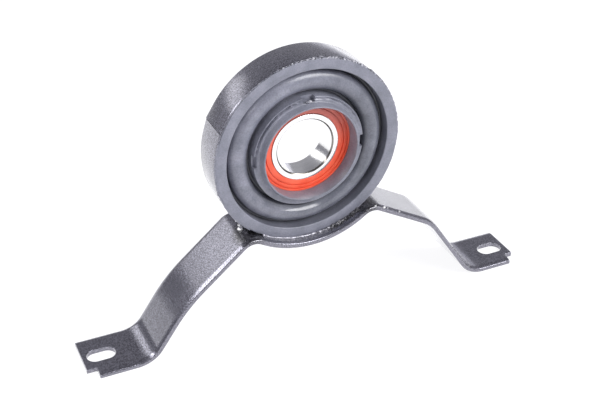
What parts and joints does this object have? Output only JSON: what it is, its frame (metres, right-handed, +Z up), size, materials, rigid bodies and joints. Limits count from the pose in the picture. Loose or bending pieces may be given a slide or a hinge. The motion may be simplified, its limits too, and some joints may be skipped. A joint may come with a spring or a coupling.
{
  "type": "driveshaft centre bearing",
  "caption": "Driveshaft centre support bearing: sealed ball bearing in a rolled rubber diaphragm and steel ring, welded to a bent mounting strap with slotted feet.",
  "frame": {"origin": "on the shaft axis, at the middle of the steel ring's width", "axes": "+Y along the driveshaft towards the back, +Z up from the feet, +X along the strap to the right"},
  "size_m": [0.2567, 0.03, 0.1519],
  "materials": {
    "strap_paint": "satin",
    "ring_paint": "satin",
    "weld_paint": "glossy",
    "mount_rubber": "satin",
    "sleeve_steel": "satin",
    "bearing_steel": "polished",
    "ball_steel": "polished",
    "cage_steel": "satin",
    "seal_rubber": "satin"
  },
  "bodies": {
    "housing": {"mounting_strap": "strap_paint", "outer_ring": "ring_paint", "weld_front": "weld_paint", "weld_rear": "weld_paint", "rubber_mount": "mount_rubber", "bearing_sleeve": "sleeve_steel", "outer_race": "bearing_steel", "seal_front": "seal_rubber", "seal_rear": "seal_rubber"},
    "inner_ring": {"inner_race": "bearing_steel"},
    "ball_cage": {"cage_front": "cage_steel", "cage_rear": "cage_steel", "cage_rivets": "cage_steel"},
    "ball_01": {"ball_01": "ball_steel"},
    "ball_02": {"ball_02": "ball_steel"},
    "ball_03": {"ball_03": "ball_steel"},
    "ball_04": {"ball_04": "ball_steel"},
    "ball_05": {"ball_05": "ball_steel"},
    "ball_06": {"ball_06": "ball_steel"},
    "ball_07": {"ball_07": "ball_steel"},
    "ball_08": {"ball_08": "ball_steel"},
    "ball_09": {"ball_09": "ball_steel"},
    "ball_10": {"ball_10": "ball_steel"},
    "ball_11": {"ball_11": "ball_steel"}
  },
  "joints": [
    {"name": "inner_race_spin", "type": "hinge", "parent": "housing", "child": "inner_ring", "pos_m": [0, 0.0014, 0], "axis": [0, 1, 0], "continuous": true},
    {"name": "cage_spin", "type": "hinge", "parent": "housing", "child": "ball_cage", "pos_m": [0, 0.0014, 0], "axis": [0, 1, 0], "continuous": true},
    {"name": "ball_01_roll", "type": "hinge", "parent": "ball_cage", "child": "ball_01", "pos_m": [0.02125, 0.0014, 0], "axis": [0, 1, 0], "continuous": true},
    {"name": "ball_02_roll", "type": "hinge", "parent": "ball_cage", "child": "ball_02", "pos_m": [0.01788, 0.0014, 0.01149], "axis": [0, 1, 0], "continuous": true},
    {"name": "ball_03_roll", "type": "hinge", "parent": "ball_cage", "child": "ball_03", "pos_m": [0.00883, 0.0014, 0.01933], "axis": [0, 1, 0], "continuous": true},
    {"name": "ball_04_roll", "type": "hinge", "parent": "ball_cage", "child": "ball_04", "pos_m": [-0.00302, 0.0014, 0.02103], "axis": [0, 1, 0], "continuous": true},
    {"name": "ball_05_roll", "type": "hinge", "parent": "ball_cage", "child": "ball_05", "pos_m": [-0.01392, 0.0014, 0.01606], "axis": [0, 1, 0], "continuous": true},
    {"name": "ball_06_roll", "type": "hinge", "parent": "ball_cage", "child": "ball_06", "pos_m": [-0.02039, 0.0014, 0.00599], "axis": [0, 1, 0], "continuous": true},
    {"name": "ball_07_roll", "type": "hinge", "parent": "ball_cage", "child": "ball_07", "pos_m": [-0.02039, 0.0014, -0.00599], "axis": [0, 1, 0], "continuous": true},
    {"name": "ball_08_roll", "type": "hinge", "parent": "ball_cage", "child": "ball_08", "pos_m": [-0.01392, 0.0014, -0.01606], "axis": [0, 1, 0], "continuous": true},
    {"name": "ball_09_roll", "type": "hinge", "parent": "ball_cage", "child": "ball_09", "pos_m": [-0.00302, 0.0014, -0.02103], "axis": [0, 1, 0], "continuous": true},
    {"name": "ball_10_roll", "type": "hinge", "parent": "ball_cage", "child": "ball_10", "pos_m": [0.00883, 0.0014, -0.01933], "axis": [0, 1, 0], "continuous": true},
    {"name": "ball_11_roll", "type": "hinge", "parent": "ball_cage", "child": "ball_11", "pos_m": [0.01788, 0.0014, -0.01149], "axis": [0, 1, 0], "continuous": true}
  ],
  "couplings": [
    {"joint": "cage_spin", "follows": "inner_race_spin", "ratio": 0.41595},
    {"joint": "ball_01_roll", "follows": "inner_race_spin", "ratio": -2.8905},
    {"joint": "ball_02_roll", "follows": "inner_race_spin", "ratio": -2.8905},
    {"joint": "ball_03_roll", "follows": "inner_race_spin", "ratio": -2.8905},
    {"joint": "ball_04_roll", "follows": "inner_race_spin", "ratio": -2.8905},
    {"joint": "ball_05_roll", "follows": "inner_race_spin", "ratio": -2.8905},
    {"joint": "ball_06_roll", "follows": "inner_race_spin", "ratio": -2.8905},
    {"joint": "ball_07_roll", "follows": "inner_race_spin", "ratio": -2.8905},
    {"joint": "ball_08_roll", "follows": "inner_race_spin", "ratio": -2.8905},
    {"joint": "ball_09_roll", "follows": "inner_race_spin", "ratio": -2.8905},
    {"joint": "ball_10_roll", "follows": "inner_race_spin", "ratio": -2.8905},
    {"joint": "ball_11_roll", "follows": "inner_race_spin", "ratio": -2.8905}
  ]
}
